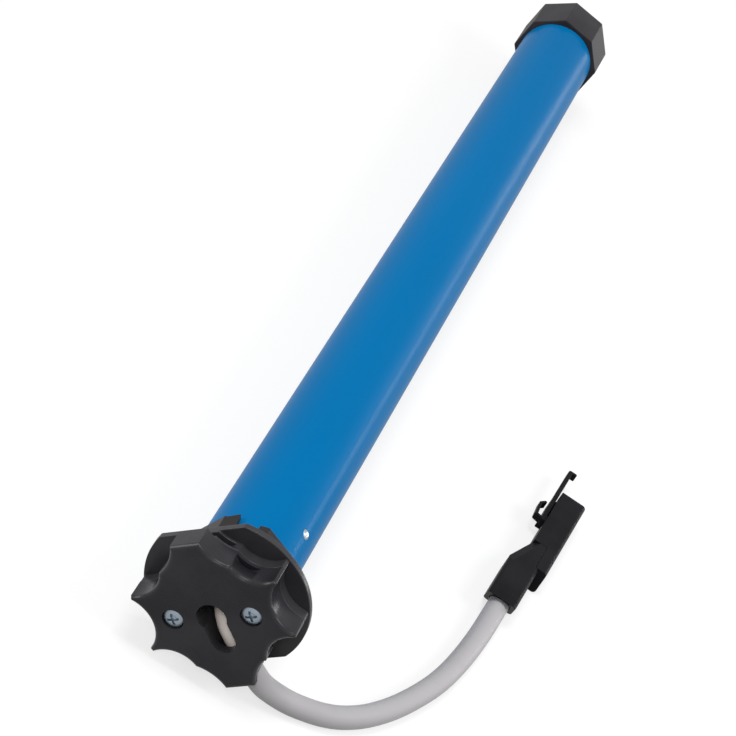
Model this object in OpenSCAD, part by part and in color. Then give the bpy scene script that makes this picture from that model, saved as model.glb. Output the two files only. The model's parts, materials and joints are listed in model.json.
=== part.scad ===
// Tubular roller blind motor: star head with its lead and plug, tube, limit drive,
// brake, induction motor, three planetary stages and octagonal drive.
// X runs along the motor axis from the star's front face to the drive. Z is up.

/* [Tube] */
// Outer diameter of the tube
tube_d = 35; // [33:0.5:38]
// Wall of the tube
tube_wall = 1; // [0.8:0.1:1.4]
// Length of the tube
tube_len = 444; // [425:1:520]
// Distance of the rivets behind the tube's front end
rivet_x = 25; // [18:1:28]
// Radius of a rivet's shank
rivet_r = 1.2; // [1:0.1:1.6]
// Angle of the first rivet about the axis
rivet_angle = 135; // [115:1:155]

/* [Star head] */
// Radius over the star's points
star_r = 28.6; // [27:0.1:31]
// Distance of a wide lobe's flat end from the axis
lobe_flat = 28.1; // [27:0.1:29]
// Angle of the wide lobes about the axis
lobe_angle = 45; // [35:1:55]
// Radius of the scallops beside the screws
side_scallop_r = 12.6; // [11:0.1:13.5]
// Least radius of the star in those scallops
side_scallop_floor = 22.3; // [21:0.1:24]
// Radius of the scallops beside the points
tip_scallop_r = 11.3; // [10:0.1:12]
// Least radius of the star in those scallops
tip_scallop_floor = 21.1; // [20:0.1:23]
// Angle of those scallops from a wide lobe
tip_scallop_angle = 47; // [45:0.5:49]
// Radius of the scallops beside the wide lobes
lobe_scallop_r = 15.9; // [14:0.1:17]
// Least radius of the star in those scallops
lobe_scallop_floor = 22.5; // [21:0.1:24]
// Angle of those scallops from a wide lobe
lobe_scallop_angle = 32.5; // [31:0.5:34]
// Depth of the star in front of the flange
star_depth = 13.9; // [13:0.1:16]
// Depth of the screwed-on star cover
cover_depth = 9.6; // [9:0.1:11]
// Radius of the flange
flange_r = 29.2; // [28:0.1:31]
// Thickness of the flange
flange_t = 2.5; // [2:0.1:4]
// Distance of the flange's upper flat from the axis
flange_flat = 24.6; // [23:0.1:26]
// Distance of the flange's flat beside the lead from the axis
flange_lead_flat = 26.4; // [24:0.1:28]
// Length of the neck that carries the crown's gear
neck_len = 5.6; // [5:0.1:8]
// Length of the spigot inside the tube
spigot_len = 32; // [30:1:40]
// Radius of the keyhole's round end in the front plate
keyhole_r = 5.3; // [4.6:0.1:6]
// Half width of the keyhole's slot
keyhole_slot_r = 4.4; // [4:0.1:5]
// Distance from the axis to the centre of the slot's end
keyhole_reach = 9.4; // [7:0.1:10]
// Radius of the retaining clip's pockets
clip_pocket_r = 5; // [4:0.1:5.5]
// Depth of those pockets below the scallops
clip_pocket_depth = 2; // [1.5:0.1:2.4]
// Width of those pockets along the axis
clip_pocket_w = 2.2; // [1.4:0.1:2.6]
// Distance from the front face to those pockets
clip_pocket_x = 6; // [5.6:0.1:6.4]
// Angle of the rear pockets from the upper wide lobe
rear_pocket_angle = 21; // [19:0.5:23]
// Radius of the cover screws' circle
screw_ring_r = 14.1; // [13:0.1:15]
// Angle of the cover screws from the wide lobes
screw_angle = 94; // [90:1:98]
// Radius of a cover screw's head
screw_head_r = 3.5; // [3:0.1:3.8]
// Height of a cover screw's head
screw_head_h = 2.2; // [1.8:0.1:2.6]
// Depth to which the head sits in the plate
screw_recess = 2.2; // [2:0.1:2.6]
// Radius of a cover screw's shank
screw_r = 1.6; // [1.3:0.1:2]
// Length of a cover screw's shank
screw_len = 20; // [16:1:24]

/* [Crown] */
// Wall of the crown at its flats
crown_wall = 1.4; // [1.3:0.1:2]
// Length of the crown
crown_len = 13.4; // [12:0.1:18]
// Angle of one flat of the crown at rest
crown_roll = 25; // [0:1:44]
// Width of the crown's rear notches
notch_w = 7.4; // [5:0.1:9]
// Depth of the crown's rear notches
notch_depth = 4; // [2:0.1:5]
// Shift of the notches along their flats
notch_shift = 0.8; // [-1:0.1:1.2]
// Width of a notch's catch at its root
catch_w = 4.2; // [3:0.1:4.6]
// Reach of a notch's catch behind the crown
catch_reach = 3.2; // [1:0.1:4]
// Radius of the limit pinion's shaft
limit_shaft_r = 2; // [1.5:0.1:2.5]
// Length of that shaft inside the limit unit
limit_shaft_len = 24; // [16:1:30]

/* [Drive] */
// Length of the octagonal drive
drive_len = 22.7; // [18:0.1:30]
// Angle of one flat of the drive at rest
drive_roll = 9.5; // [0:0.5:44]
// Wall of the drive's octagon
drive_wall = 2.6; // [2:0.1:4]
// Radius of the drive's hub
drive_hub_r = 10; // [9.5:0.1:12]
// Thickness of the drive's ribs
drive_rib = 2.2; // [1.6:0.1:3]
// Thickness of the drive's web at the tube
drive_web = 5; // [4:0.1:8]
// Width across the flats of the output hexagon
hex_af = 10; // [8:0.1:10.2]
// Radius of the output shaft
output_r = 6; // [5.9:0.1:6.6]
// Radius of the drive screw's head
drive_screw_head_r = 6.5; // [6:0.1:7]
// Height of the drive screw's head
drive_screw_head_h = 3; // [2:0.1:4]
// Radius of the drive screw's shank
drive_screw_r = 2.1; // [1.8:0.1:2.4]
// Length of the drive screw's shank
drive_screw_len = 14; // [10:1:18]
// Outer radius of the output bushes
output_bush_r = 9; // [8.2:0.1:10]
// Length of an output bush
output_bush_len = 18; // [12:1:20]
// Length of the end housing
end_housing_len = 59; // [48:1:70]

/* [Gear train] */
// Wall of the ring gear behind its teeth
ring_wall = 1.4; // [1.2:0.1:2]
// Width of the first stage's planets
planet_w_1 = 12; // [10:1:16]
// Width of the second stage's planets
planet_w_2 = 16; // [12:1:20]
// Width of the third stage's planets
planet_w_3 = 22; // [16:1:26]
// Thickness of a planet carrier
carrier_t = 4; // [3:0.1:5]
// Radius of a planet pin
pin_r = 1.5; // [1.2:0.1:2]
// Thinning of each tooth for backlash
backlash = 0.1; // [0.06:0.01:0.14]
// Thickness of the gearbox's rear plate
gear_plate_t = 4; // [3:0.1:6]

/* [Motor] */
// Radius of the rotor
rotor_r = 9.2; // [8.6:0.1:9.6]
// Length of the stator
stator_len = 100; // [85:1:110]
// Number of stator slots
stator_slots = 12; // [8:1:16]
// Width of a stator slot
slot_w = 2.4; // [1.8:0.1:2.6]
// Length of the winding's end turns
end_turn_len = 9; // [7:0.5:12]
// Wall of an end shield's rim
shield_rim = 1.2; // [1:0.1:1.5]
// Thickness of an end shield
shield_t = 6; // [5:0.1:8]
// Radius of the rotor's shaft
rotor_shaft_r = 3; // [2.6:0.1:3.2]
// Wall of a rotor bush
bush_wall = 1.9; // [1.4:0.1:2.4]

/* [Brake and limit unit] */
// Length of the limit unit
limit_len = 50; // [46:1:60]
// Length of a limit switch
switch_len = 20; // [16:0.5:24]
// Width of a limit switch
switch_w = 10; // [8:0.5:12]
// Height of a limit switch
switch_h = 8; // [6:0.5:9]
// Distance of the limit switches from the axis
switch_y = 5; // [4:0.1:5.4]
// Thickness of the terminal board
board_t = 1.6; // [1.2:0.1:2.4]
// Radius of the capacitor
capacitor_r = 13.5; // [12:0.1:14]
// Length of the brake magnet
brake_len = 30; // [26:1:36]
// Wall of the brake magnet's rim
brake_rim = 2; // [1.6:0.1:2.4]
// Thickness of the magnet's back
brake_back = 4; // [3:0.5:6]
// Radius of the magnet's core
brake_core_r = 7; // [6.4:0.1:8]
// Radius of the spring's pocket in the core
spring_pocket_r = 4; // [3.6:0.1:4.4]
// Diameter of the spring's wire
spring_wire = 0.9; // [0.7:0.1:1.1]
// Number of turns of the spring
spring_turns = 6; // [4:1:6]
// Thickness of the brake's armature
armature_t = 4; // [3:0.1:6]
// Travel of the brake's armature
armature_travel = 0.4; // [0.3:0.05:0.6]
// Gap between the armature and the brake disc
disc_gap = 0.1; // [0.05:0.01:0.15]
// Thickness of the brake disc
brake_disc_t = 4; // [3:0.1:6]
// Gap between the brake disc's edge and the magnet's rim
disc_edge_gap = 0.8; // [0.5:0.1:2]

/* [Lead and plug] */
// Diameter of the lead
lead_d = 8.2; // [7:0.1:8.6]
// Distance of the lead's channel from the front face
lead_x = 8; // [7.6:0.1:8.4]
// Angle of the lead's channel about the axis
lead_angle = 220; // [218:1:222]
// Bend radius of the lead inside the head
lead_bend = 10; // [9:0.5:12]
// Distance from the axis at which the free lead starts
lead_exit_r = 24; // [22:0.5:25]
// Length of the strain relief collar
collar_len = 8; // [6:0.5:12]
// Radius of the cavity in the spigot
cavity_r = 9.6; // [8.6:0.1:10]
// Distance of that cavity behind the tube's front end
cavity_x = 8; // [7:0.5:12]
// Height of the plug
plug_h = 11; // [10:0.1:12]
// Width of the plug's rear sleeve
sleeve_w = 12.2; // [11:0.1:13]
// Length of the plug's rear sleeve
sleeve_len = 19; // [15:0.5:24]
// Length of the plug's body
plug_len = 50.4; // [44:0.1:60]
// Reach of the body beyond the sleeve on its outer side
plug_step = 3.5; // [2.5:0.1:5]
// Length of the body's sloped shoulder
shoulder_len = 14.2; // [10:0.1:18]
// Drop of the body's sloped shoulder
shoulder_drop = 4.7; // [3.5:0.1:5.5]
// Distance of the seam between sleeve and body from the plug's axis
seam_w = 4.4; // [3.6:0.1:5]
// Overhang of the sleeve's top over the lead
hood_len = 9; // [0:0.5:12]
// Drop of the chamfer along the sloped shoulder
shoulder_chamfer = 1.8; // [1:0.1:4]
// Rounding of the plug's long edges
plug_round = 1.6; // [1:0.1:2.2]
// Distance of the latch pivot from the plug's front
latch_pivot_back = 18; // [16:0.1:22]
// Radius of the latch's pivot pin
latch_pin_r = 0.8; // [0.7:0.05:1]
// Height of the latch
latch_h = 3.2; // [2.4:0.1:4]
// Thickness of the latch's arm
latch_t = 1.8; // [1.4:0.1:2.2]
// Reach of the latch beyond the plug's front
latch_reach = 18.4; // [12:0.1:20]
// Length of the latch's tip hook
latch_hook = 3; // [2.4:0.1:4.4]
// Length of the latch's thumb tab
tab_len = 9.8; // [7:0.1:11]
// Thickness of the thumb tab
tab_t = 1.2; // [1:0.1:2]
// Distance of the thumb tab from the arm
tab_rise = 1.7; // [1:0.1:2]
// Width of a contact slot in the plug's front
contact_w = 1.6; // [1.2:0.1:2]
// Height of a contact slot
contact_h = 4; // [3:0.1:5]
// Depth of a contact slot
contact_depth = 9; // [6:0.5:12]

/* [Fits] */
// Gap between pieces that are fixed to each other
fit = 0.04; // [0.02:0.01:0.06]
// Radial gap of a running fit
run = 0.08; // [0.05:0.01:0.1]
// Axial gap beside a turning piece
face_gap = 0.35; // [0.3:0.05:0.5]
// Air gap between rotor and stator
air_gap = 0.4; // [0.3:0.05:0.5]
// Gap around the lead in its channel
lead_gap = 0.3; // [0.2:0.05:0.4]

/* [Hidden] */
$fn = 64;
cut = 1;

// Radii that follow the tube
tube_r = tube_d / 2;
tube_ir = tube_r - tube_wall;
seat_r = tube_ir - fit;
octagon_flat = tube_r + run + crown_wall;

// Stations along the axis, from the head to the drive
flange_x0 = star_depth;
neck_x0 = flange_x0 + flange_t;
tube_x0 = neck_x0 + neck_len;
tube_x1 = tube_x0 + tube_len;
spigot_x1 = tube_x0 + spigot_len;
limit_x1 = spigot_x1 + limit_len;
board_x1 = limit_x1 + board_t;

// Stations back from the tube's far end; the capacitor takes the room between
gear_x1 = tube_x1 - end_housing_len;
planet_w = [planet_w_1, planet_w_2, planet_w_3];
stage_3_x0 = gear_x1 - planet_w_3 - carrier_t - 2 * face_gap;
stage_2_x0 = stage_3_x0 - planet_w_2 - carrier_t - 2 * face_gap;
stage_1_x0 = stage_2_x0 - planet_w_1 - carrier_t - 2 * face_gap;
stage_x0 = [stage_1_x0, stage_2_x0, stage_3_x0];
gear_x0 = stage_1_x0 - face_gap;
front_shield_x1 = gear_x0 - gear_plate_t;
front_shield_x0 = front_shield_x1 - shield_t;
stator_x1 = front_shield_x0 - end_turn_len;
stator_x0 = stator_x1 - stator_len;
rear_shield_x1 = stator_x0 - end_turn_len;
rear_shield_x0 = rear_shield_x1 - shield_t;
disc_x1 = rear_shield_x0 - face_gap;
disc_x0 = disc_x1 - brake_disc_t;
armature_x1 = disc_x0 - disc_gap;
armature_x0 = armature_x1 - armature_t;
brake_x1 = armature_x0 - armature_travel - disc_gap;
capacitor_x1 = brake_x1 - brake_len;
drive_x0 = tube_x1 + face_gap;
drive_x1 = drive_x0 + drive_len;
crown_x0 = neck_x0 + face_gap;
crown_x1 = crown_x0 + crown_len;
crown_gear_x1 = tube_x0 - face_gap;
notch_edge = -notch_w / 2 + notch_shift;

// Teeth: three equal planetary stages, and the crown with its limit pinion
sun_teeth = 12;
planet_teeth = 18;
ring_teeth = sun_teeth + 2 * planet_teeth;
addendum = 0.85;
dedendum = 1.1;
pressure_angle = 20;
flank_steps = 2;
gear_m = (seat_r - ring_wall) / (ring_teeth / 2 + dedendum);
planet_orbit = gear_m * (sun_teeth + planet_teeth) / 2;
carrier_r = planet_orbit + 3.4;
crown_teeth = 58;
pinion_teeth = 14;
crown_addendum = 0.6;
crown_gear_drop = 0.1;
crown_m = 2 * (tube_r - crown_gear_drop) / crown_teeth;
pinion_orbit = crown_m * (crown_teeth - pinion_teeth) / 2;
pinion_angle = 90;

// The lead's channel and route
lead_r = lead_d / 2;
channel_w = lead_d + 2 * lead_gap;
lead_sides = 10;
floor_z = -flange_r;
lead_route = [
    [8, -18.4, -15.4], [8, -20.4, -17.1], [8.6, -25.3, -20.6], [10, -30, -22.8],
    [12, -36.5, -24.6], [13.8, -42.3, -25.1], [16, -48.5, -25.1], [20, -55, -25.1],
    [27, -62, -25.1], [37.5, -69, -25.1], [50, -75, -25.1], [63, -79.7, -25.1],
    [78, -83.1, -25.1], [94, -85.4, -24.9], [108, -86.6, -24.3], [121, -87.5, -23.7]
];
plug_x = 121;
plug_y = -87.5;
plug_heading = -4.2;

// Named places on the plug, along its length s and across it w
sleeve_side = sleeve_w / 2;
body_side = sleeve_side - shoulder_drop;
body_far_side = sleeve_side + plug_step;
plug_front = sleeve_len + plug_len;
latch_s = plug_front - latch_pivot_back;
seam_front = sleeve_len + shoulder_len;
latch_hub_r = 1.8;
latch_clear = 0.35;
latch_w = body_side - 1;
latch_z = 2 * plug_h / 3;
latch_pin_hold = 1.3;
contact_count = 4;
contact_pitch = 2.5;
contact_w_mid = (body_side - body_far_side) / 2;

module along_x(x0 = 0) {
    translate([x0, 0, 0]) rotate([90, 0, 90]) children();
}

module bar(x0, x1, r) {
    along_x(x0) cylinder(h = x1 - x0, r = r);
}

module sleeve(x0, x1, r_out, r_in) {
    difference() {
        bar(x0, x1, r_out);
        bar(x0 - cut, x1 + cut, r_in);
    }
}

module polar(r, angle) {
    rotate(angle) translate([r, 0]) children();
}

// Involute gear outlines
function involute(r, base) = let (t = sqrt(max(pow(r / base, 2) - 1, 0))) t * 180 / PI - atan(t);

function tooth_half(r, m, z, thin) =
    let (pitch = m * z / 2, base = pitch * cos(pressure_angle))
    90 / z - thin / 2 / pitch * 180 / PI + involute(pitch, base) - involute(r, base);

function gear_points(m, z, add, ded, thin) =
    let (
        pitch = m * z / 2,
        root = pitch - ded * m,
        tip = pitch + add * m,
        foot = max(root, pitch * cos(pressure_angle)),
        radii = [for (i = [0:flank_steps]) foot + (tip - foot) * i / flank_steps],
        heel = root < foot ? [[root, tooth_half(foot, m, z, thin)]] : [],
        half = concat(heel, [for (r = radii) [r, tooth_half(r, m, z, thin)]]),
        last = len(half) - 1
    )
    [for (i = [0:z - 1]) each concat(
        [for (p = half) p[0] * [cos(360 * i / z - p[1]), sin(360 * i / z - p[1])]],
        [for (k = [last:-1:0]) half[k][0] * [cos(360 * i / z + half[k][1]), sin(360 * i / z + half[k][1])]]
    )];

module gear_2d(m, z) {
    polygon(gear_points(m, z, addendum, dedendum, backlash));
}

module ring_cut_2d(m, z, inner_addendum) {
    rotate(180 / z) polygon(gear_points(m, z, dedendum, inner_addendum, -backlash / 2));
}

// Tubes swept along a list of points
function unit(v) = v / norm(v);

function heading(path, i) = unit(path[min(i + 1, len(path) - 1)] - path[max(i - 1, 0)]);

function ring_points(path, i, r, sides, side_hint) =
    let (t = heading(path, i), a = unit(cross(side_hint, t)), b = cross(t, a))
    [for (k = [0:sides - 1]) path[i] + r * (cos(360 * k / sides) * a + sin(360 * k / sides) * b)];

module swept_tube(path, r, sides, side_hint) {
    rings = len(path);
    points = [for (i = [0:rings - 1]) each ring_points(path, i, r, sides, side_hint)];
    wall = [for (i = [0:rings - 2], k = [0:sides - 1], half = [0, 1])
        let (
            a = i * sides + k,
            b = i * sides + (k + 1) % sides,
            c = b + sides,
            d = a + sides
        )
        half == 0 ? [a, d, b] : [b, d, c]];
    start_cap = [for (k = [0:sides - 1]) k];
    end_cap = [for (k = [sides - 1:-1:0]) (rings - 1) * sides + k];
    polyhedron(points = points, faces = concat(wall, [start_cap, end_cap]));
}

// Star head
module scallop_2d(angle, r, least_r) {
    polar(least_r + r, angle) circle(r = r);
}

module star_2d() {
    difference() {
        intersection() {
            circle(r = star_r);
            rotate(lobe_angle) square([2 * lobe_flat, 4 * star_r], center = true);
        }
        for (end = [0, 180], side = [-1, 1]) {
            scallop_2d(lobe_angle + end + side * lobe_scallop_angle, lobe_scallop_r, lobe_scallop_floor);
            scallop_2d(lobe_angle + end + side * tip_scallop_angle, tip_scallop_r, tip_scallop_floor);
        }
        for (side = [-90, 90]) scallop_2d(lobe_angle + side, side_scallop_r, side_scallop_floor);
    }
}

module between_flats_2d() {
    rotate(lobe_angle) translate([-flange_lead_flat, -2 * flange_r])
        square([flange_flat + flange_lead_flat, 4 * flange_r]);
}

module keyhole_2d() {
    circle(r = keyhole_r);
    rotate(lead_angle) translate([0, -keyhole_slot_r]) square([keyhole_reach, 2 * keyhole_slot_r]);
    polar(keyhole_reach, lead_angle) circle(r = keyhole_slot_r);
}

module lead_channel() {
    along_x(lead_x - channel_w / 2) {
        rotate(lead_angle) translate([0, -channel_w / 2, 0]) cube([star_r + cut, channel_w, channel_w]);
        cylinder(h = channel_w, r = channel_w / 2);
    }
}

module at_screws() {
    for (side = [0, 180]) rotate(lobe_angle + screw_angle + side) translate([screw_ring_r, 0, 0]) children();
}

module star_cover() color("#26262a") difference() {
    along_x() linear_extrude(cover_depth) star_2d();
    along_x(-cut) linear_extrude(cut + lead_x) keyhole_2d();
    lead_channel();
    along_x(-cut) at_screws() cylinder(h = cut + screw_recess, r = screw_head_r + lead_gap);
    along_x(-cut) at_screws() cylinder(h = 2 * cut + cover_depth, r = screw_r + fit);
    along_x(clip_pocket_x) for (end = [0, 180], side = [-1, 1])
        rotate(lobe_angle + end + side * tip_scallop_angle)
            translate([tip_scallop_floor - clip_pocket_depth + clip_pocket_r, 0, 0])
                cylinder(h = clip_pocket_w, r = clip_pocket_r);
}

module head_body() color("#222226") difference() {
    union() {
        along_x(cover_depth) linear_extrude(star_depth - cover_depth) intersection() {
            star_2d();
            between_flats_2d();
        }
        along_x(flange_x0) linear_extrude(flange_t) intersection() {
            circle(r = flange_r);
            between_flats_2d();
        }
        bar(neck_x0 - fit, tube_x0, tube_ir - face_gap);
        bar(tube_x0 - fit, spigot_x1, seat_r);
    }
    lead_channel();
    lead_passage(lead_r + lead_gap, star_r + cut);
    bar(tube_x0 + cavity_x, spigot_x1 + cut, cavity_r);
    along_x(cover_depth - cut) at_screws() cylinder(h = screw_len + 2 * cut, r = screw_r + fit);
    along_x(neck_x0) rotate(pinion_angle) translate([pinion_orbit, 0, 0])
        cylinder(h = neck_len, r = crown_m * (pinion_teeth / 2 + addendum) + face_gap);
    along_x(neck_x0) rotate(pinion_angle) translate([pinion_orbit, 0, 0])
        cylinder(h = spigot_x1, r = limit_shaft_r + run);
    at_rivets() cylinder(h = tube_r, r = rivet_r + fit);
    along_x(flange_x0 - clip_pocket_w - cut) for (side = [-1, 1])
        rotate(lobe_angle + side * rear_pocket_angle)
            translate([lobe_scallop_floor - clip_pocket_depth + clip_pocket_r, 0, 0])
                cylinder(h = clip_pocket_w, r = clip_pocket_r);
}

module head_screws() color("#b9bdc2") along_x(screw_recess - screw_head_h) at_screws() difference() {
    union() {
        intersection() {
            cylinder(h = screw_head_h, r = screw_head_r);
            translate([0, 0, 2 * screw_head_r]) sphere(r = 2 * screw_head_r);
        }
        cylinder(h = screw_head_h + screw_len, r = screw_r);
    }
    for (turn = [0, 90]) rotate(turn) translate([-0.6 * screw_head_r, -0.45, -cut])
        cube([1.2 * screw_head_r, 0.9, cut + 0.5 * screw_head_h]);
}

// The lead inside the head, its collar and the free lead
module lead_passage(r, reach) {
    bar(lead_x + lead_bend, tube_x0 + cavity_x + collar_len, r);
    translate([lead_x + lead_bend, 0, 0]) rotate([lead_angle, 0, 0]) translate([0, lead_bend, 0])
        intersection() {
            rotate_extrude() translate([lead_bend, 0]) circle(r = r);
            translate([-2 * lead_bend, -2 * lead_bend, -lead_d]) cube([2 * lead_bend, 2 * lead_bend, 2 * lead_d]);
        }
    along_x(lead_x) rotate(lead_angle) translate([lead_bend, 0, 0])
        rotate([0, 90, 0]) cylinder(h = reach - lead_bend, r = r);
}

module lead_tail() color("#d9d9d6") {
    out = [0, cos(lead_angle), sin(lead_angle)];
    bend_steps = 6;
    path = concat(
        [[tube_x0 + cavity_x + collar_len, 0, 0]],
        [for (i = [0:bend_steps]) let (a = 90 * i / bend_steps)
            [lead_x + lead_bend * (1 - sin(a)), 0, 0] + lead_bend * (1 - cos(a)) * out],
        [[lead_x, 0, 0] + lead_exit_r * out]
    );
    swept_tube(path, lead_r, 12, [0, -out[2], out[1]]);
}

module lead_collar() color("#3a3a3e") {
    collar_x0 = tube_x0 + cavity_x;
    sleeve(collar_x0, collar_x0 + collar_len, cavity_r - fit, lead_r + fit);
}

module power_lead() color("#d9d9d6") swept_tube(lead_route, lead_r, lead_sides, [0, 0, 1]);

// Plug on the end of the lead
module on_plug() {
    translate([plug_x, plug_y, floor_z]) rotate([0, 0, plug_heading]) children();
}

module rounded_bar(s0, s1, w0, w1) {
    r = plug_round;
    translate([s0, 0, 0]) rotate([90, 0, 90]) linear_extrude(s1 - s0) {
        translate([w0 + r, 0]) square([w1 - w0 - 2 * r, plug_h]);
        translate([w0, r]) square([w1 - w0, plug_h - 2 * r]);
        for (w = [w0 + r, w1 - r], z = [r, plug_h - r]) translate([w, z]) circle(r = r);
    }
}

module plug_shell() {
    difference() {
        rounded_bar(-hood_len, sleeve_len, -sleeve_side, sleeve_side);
        rotate([90, 0, 0]) linear_extrude(4 * sleeve_w, center = true)
            polygon([[-hood_len - cut, -cut], [-hood_len - cut, plug_h], [-hood_len, plug_h], [0, 0], [0, -cut]]);
        translate([-2 * hood_len, 0, lead_route[len(lead_route) - 1][2] - floor_z]) rotate([0, 90, 0])
            cylinder(h = 2 * hood_len, r = lead_r + lead_gap);
    }
    intersection() {
        rounded_bar(sleeve_len, plug_front, -body_far_side, sleeve_side);
        linear_extrude(plug_h) polygon([
            [sleeve_len, -body_far_side], [sleeve_len, sleeve_side],
            [seam_front, body_side], [plug_front, body_side], [plug_front, -body_far_side]
        ]);
    }
}

module sleeve_side_of_seam() {
    translate([-hood_len - cut, -2 * sleeve_w, -cut])
        cube([sleeve_len + hood_len + cut, 4 * sleeve_w, plug_h + 2 * cut]);
    translate([-cut, -seam_w, -cut]) cube([seam_front + cut, 4 * sleeve_w, plug_h + 2 * cut]);
}

module plug_sleeve() color("#1d1d20") on_plug() difference() {
    intersection() {
        plug_shell();
        sleeve_side_of_seam();
    }
    translate([sleeve_len, sleeve_side, plug_h - shoulder_chamfer]) rotate(-atan(shoulder_drop / shoulder_len))
        rotate([-30, 0, 0]) translate([-sleeve_len / 6, -sleeve_w, 0])
            cube([2 * shoulder_len, 2 * sleeve_w, plug_h]);
}

module contact_slots(gap) {
    for (i = [0:contact_count - 1])
        translate([
            plug_front - contact_depth,
            contact_w_mid + (i - (contact_count - 1) / 2) * contact_pitch - contact_w / 2 + gap,
            (plug_h - contact_h) / 2 + gap
        ])
            cube([contact_depth + cut, contact_w - 2 * gap, contact_h - 2 * gap]);
}

module plug_body() color("#1d1d20") on_plug() difference() {
    union() {
        difference() {
            plug_shell();
            sleeve_side_of_seam();
        }
        translate([latch_s + 2 * latch_hub_r, body_side - plug_round, 0])
            cube([
                latch_pivot_back - 2 * latch_hub_r,
                plug_round + latch_clear + latch_t,
                latch_z - latch_h / 2 - face_gap
            ]);
    }
    contact_slots(0);
    translate([
        latch_s - latch_hub_r - 2 * face_gap,
        latch_w - latch_hub_r - face_gap,
        latch_z - latch_h / 2 - face_gap
    ])
        cube([2 * latch_hub_r + 4 * face_gap, 4 * latch_hub_r, latch_h + 2 * face_gap]);
    translate([latch_s, latch_w, latch_z - latch_h / 2 - latch_pin_hold])
        cylinder(h = latch_h + 2 * latch_pin_hold, r = latch_pin_r + fit);
}

module plug_contacts() color("#c9a227") on_plug() intersection() {
    contact_slots(fit);
    translate([plug_front - contact_depth, -body_far_side, 0])
        cube([contact_depth - 0.5, body_far_side + body_side, plug_h]);
}

module latch_pin() color("#9a9ca0") on_plug()
    translate([latch_s, latch_w, latch_z - latch_h / 2 - latch_pin_hold])
        cylinder(h = latch_h + 2 * latch_pin_hold, r = latch_pin_r);

module capsule_2d(from, to, t) {
    for (p = [from, to]) translate(p) circle(r = t / 2);
    translate(from) rotate(atan2(to[1] - from[1], to[0] - from[0])) translate([0, -t / 2])
        square([norm(to - from), t]);
}

module latch_2d() {
    arm_w = body_side + latch_clear + latch_t / 2 - latch_w;
    tip_s = latch_pivot_back + latch_reach - latch_t / 2;
    hook_s = tip_s + (latch_t - tab_t) / 2;
    tab_w = arm_w + latch_t / 2 + tab_rise + tab_t / 2;
    circle(r = latch_hub_r);
    translate([-latch_hub_r, 0]) square([2 * latch_hub_r, arm_w]);
    capsule_2d([-latch_hub_r / 2, arm_w], [tip_s, arm_w], latch_t);
    capsule_2d([hook_s, arm_w], [hook_s, arm_w - latch_hook + latch_t / 2], tab_t);
    capsule_2d([-latch_hub_r / 2, arm_w], [0, tab_w], tab_t);
    capsule_2d([0, tab_w], [tab_len - 2.5, tab_w + 0.6], tab_t);
    capsule_2d([tab_len - 2.5, tab_w + 0.6], [tab_len - tab_t / 2, tab_w - tab_rise / 2], tab_t);
}

module plug_latch() color("#1d1d20") on_plug() translate([latch_s, latch_w, latch_z - latch_h / 2])
    linear_extrude(latch_h) difference() {
        latch_2d();
        circle(r = latch_pin_r + run);
    }

// Tube with its rivets
module at_rivets() {
    for (side = [0, 180]) translate([tube_x0 + rivet_x, 0, 0]) rotate([rivet_angle + side, 0, 0])
        rotate([-90, 0, 0]) translate([0, 0, cavity_r]) children();
}

module motor_tube() color("#0274b4") difference() {
    sleeve(tube_x0, tube_x1, tube_r, tube_ir);
    at_rivets() cylinder(h = tube_r, r = rivet_r + fit);
}

module tube_rivets() color("#c4c7ca") at_rivets() {
    cylinder(h = tube_r - cavity_r, r = rivet_r);
    translate([0, 0, tube_r - cavity_r]) intersection() {
        cylinder(h = 0.7, r = 1.5 * rivet_r);
        translate([0, 0, -1.3 * rivet_r]) sphere(r = 2 * rivet_r);
    }
}

// Crown and the limit unit that it drives
module crown_ring() color("#1f1f23") difference() {
    union() {
        along_x(crown_x0) rotate(crown_roll + 22.5)
            cylinder(h = crown_len, r = octagon_flat / cos(22.5), $fn = 8);
        intersection() {
            for (i = [0:3]) along_x(crown_x1 - fit) rotate(crown_roll + 45 + 90 * i)
                translate([0, notch_edge, 0]) rotate([0, 90, 0]) linear_extrude(octagon_flat)
                    polygon([[0, -catch_w], [-catch_reach - fit, -catch_w / 8], [0, 0]]);
            along_x(crown_x1 - cut) rotate(crown_roll + 22.5)
                cylinder(h = catch_reach + 2 * cut, r = octagon_flat / cos(22.5), $fn = 8);
        }
    }
    bar(crown_gear_x1, crown_x1 + catch_reach + cut, tube_r + run);
    along_x(crown_x0 - cut) rotate(pinion_angle) linear_extrude(crown_gear_x1 - crown_x0 + cut + fit)
        ring_cut_2d(crown_m, crown_teeth, crown_addendum);
    for (i = [0:3]) along_x(crown_x1 - notch_depth) rotate(crown_roll + 45 + 90 * i)
        translate([0, notch_edge, 0]) cube([2 * octagon_flat, notch_w, notch_depth + cut]);
}

module at_pinion() {
    translate([0, pinion_orbit * cos(pinion_angle), pinion_orbit * sin(pinion_angle)]) children();
}

module limit_pinion() color("#d8d3c4") at_pinion() {
    along_x(neck_x0 + face_gap) rotate(pinion_angle + 180 / pinion_teeth)
        linear_extrude(neck_len - 2 * face_gap) gear_2d(crown_m, pinion_teeth);
    bar(tube_x0 - face_gap - fit, spigot_x1 + limit_shaft_len, limit_shaft_r);
}

module at_switches() {
    for (side = [0, 180]) translate([spigot_x1 + limit_shaft_len / 2, 0, 0]) rotate([side, 0, 0])
        translate([0, switch_y, -switch_w / 2]) children();
}

module limit_unit() color("#e4e1d6") difference() {
    bar(spigot_x1, limit_x1, seat_r);
    at_pinion() bar(spigot_x1 - cut, spigot_x1 + limit_shaft_len + face_gap, limit_shaft_r + run);
    at_switches() cube([switch_len, tube_r, switch_w]);
}

module limit_switches() color("#2d2d33") at_switches() translate([fit, fit, fit])
    cube([switch_len - 2 * fit, switch_h, switch_w - 2 * fit]);

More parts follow.
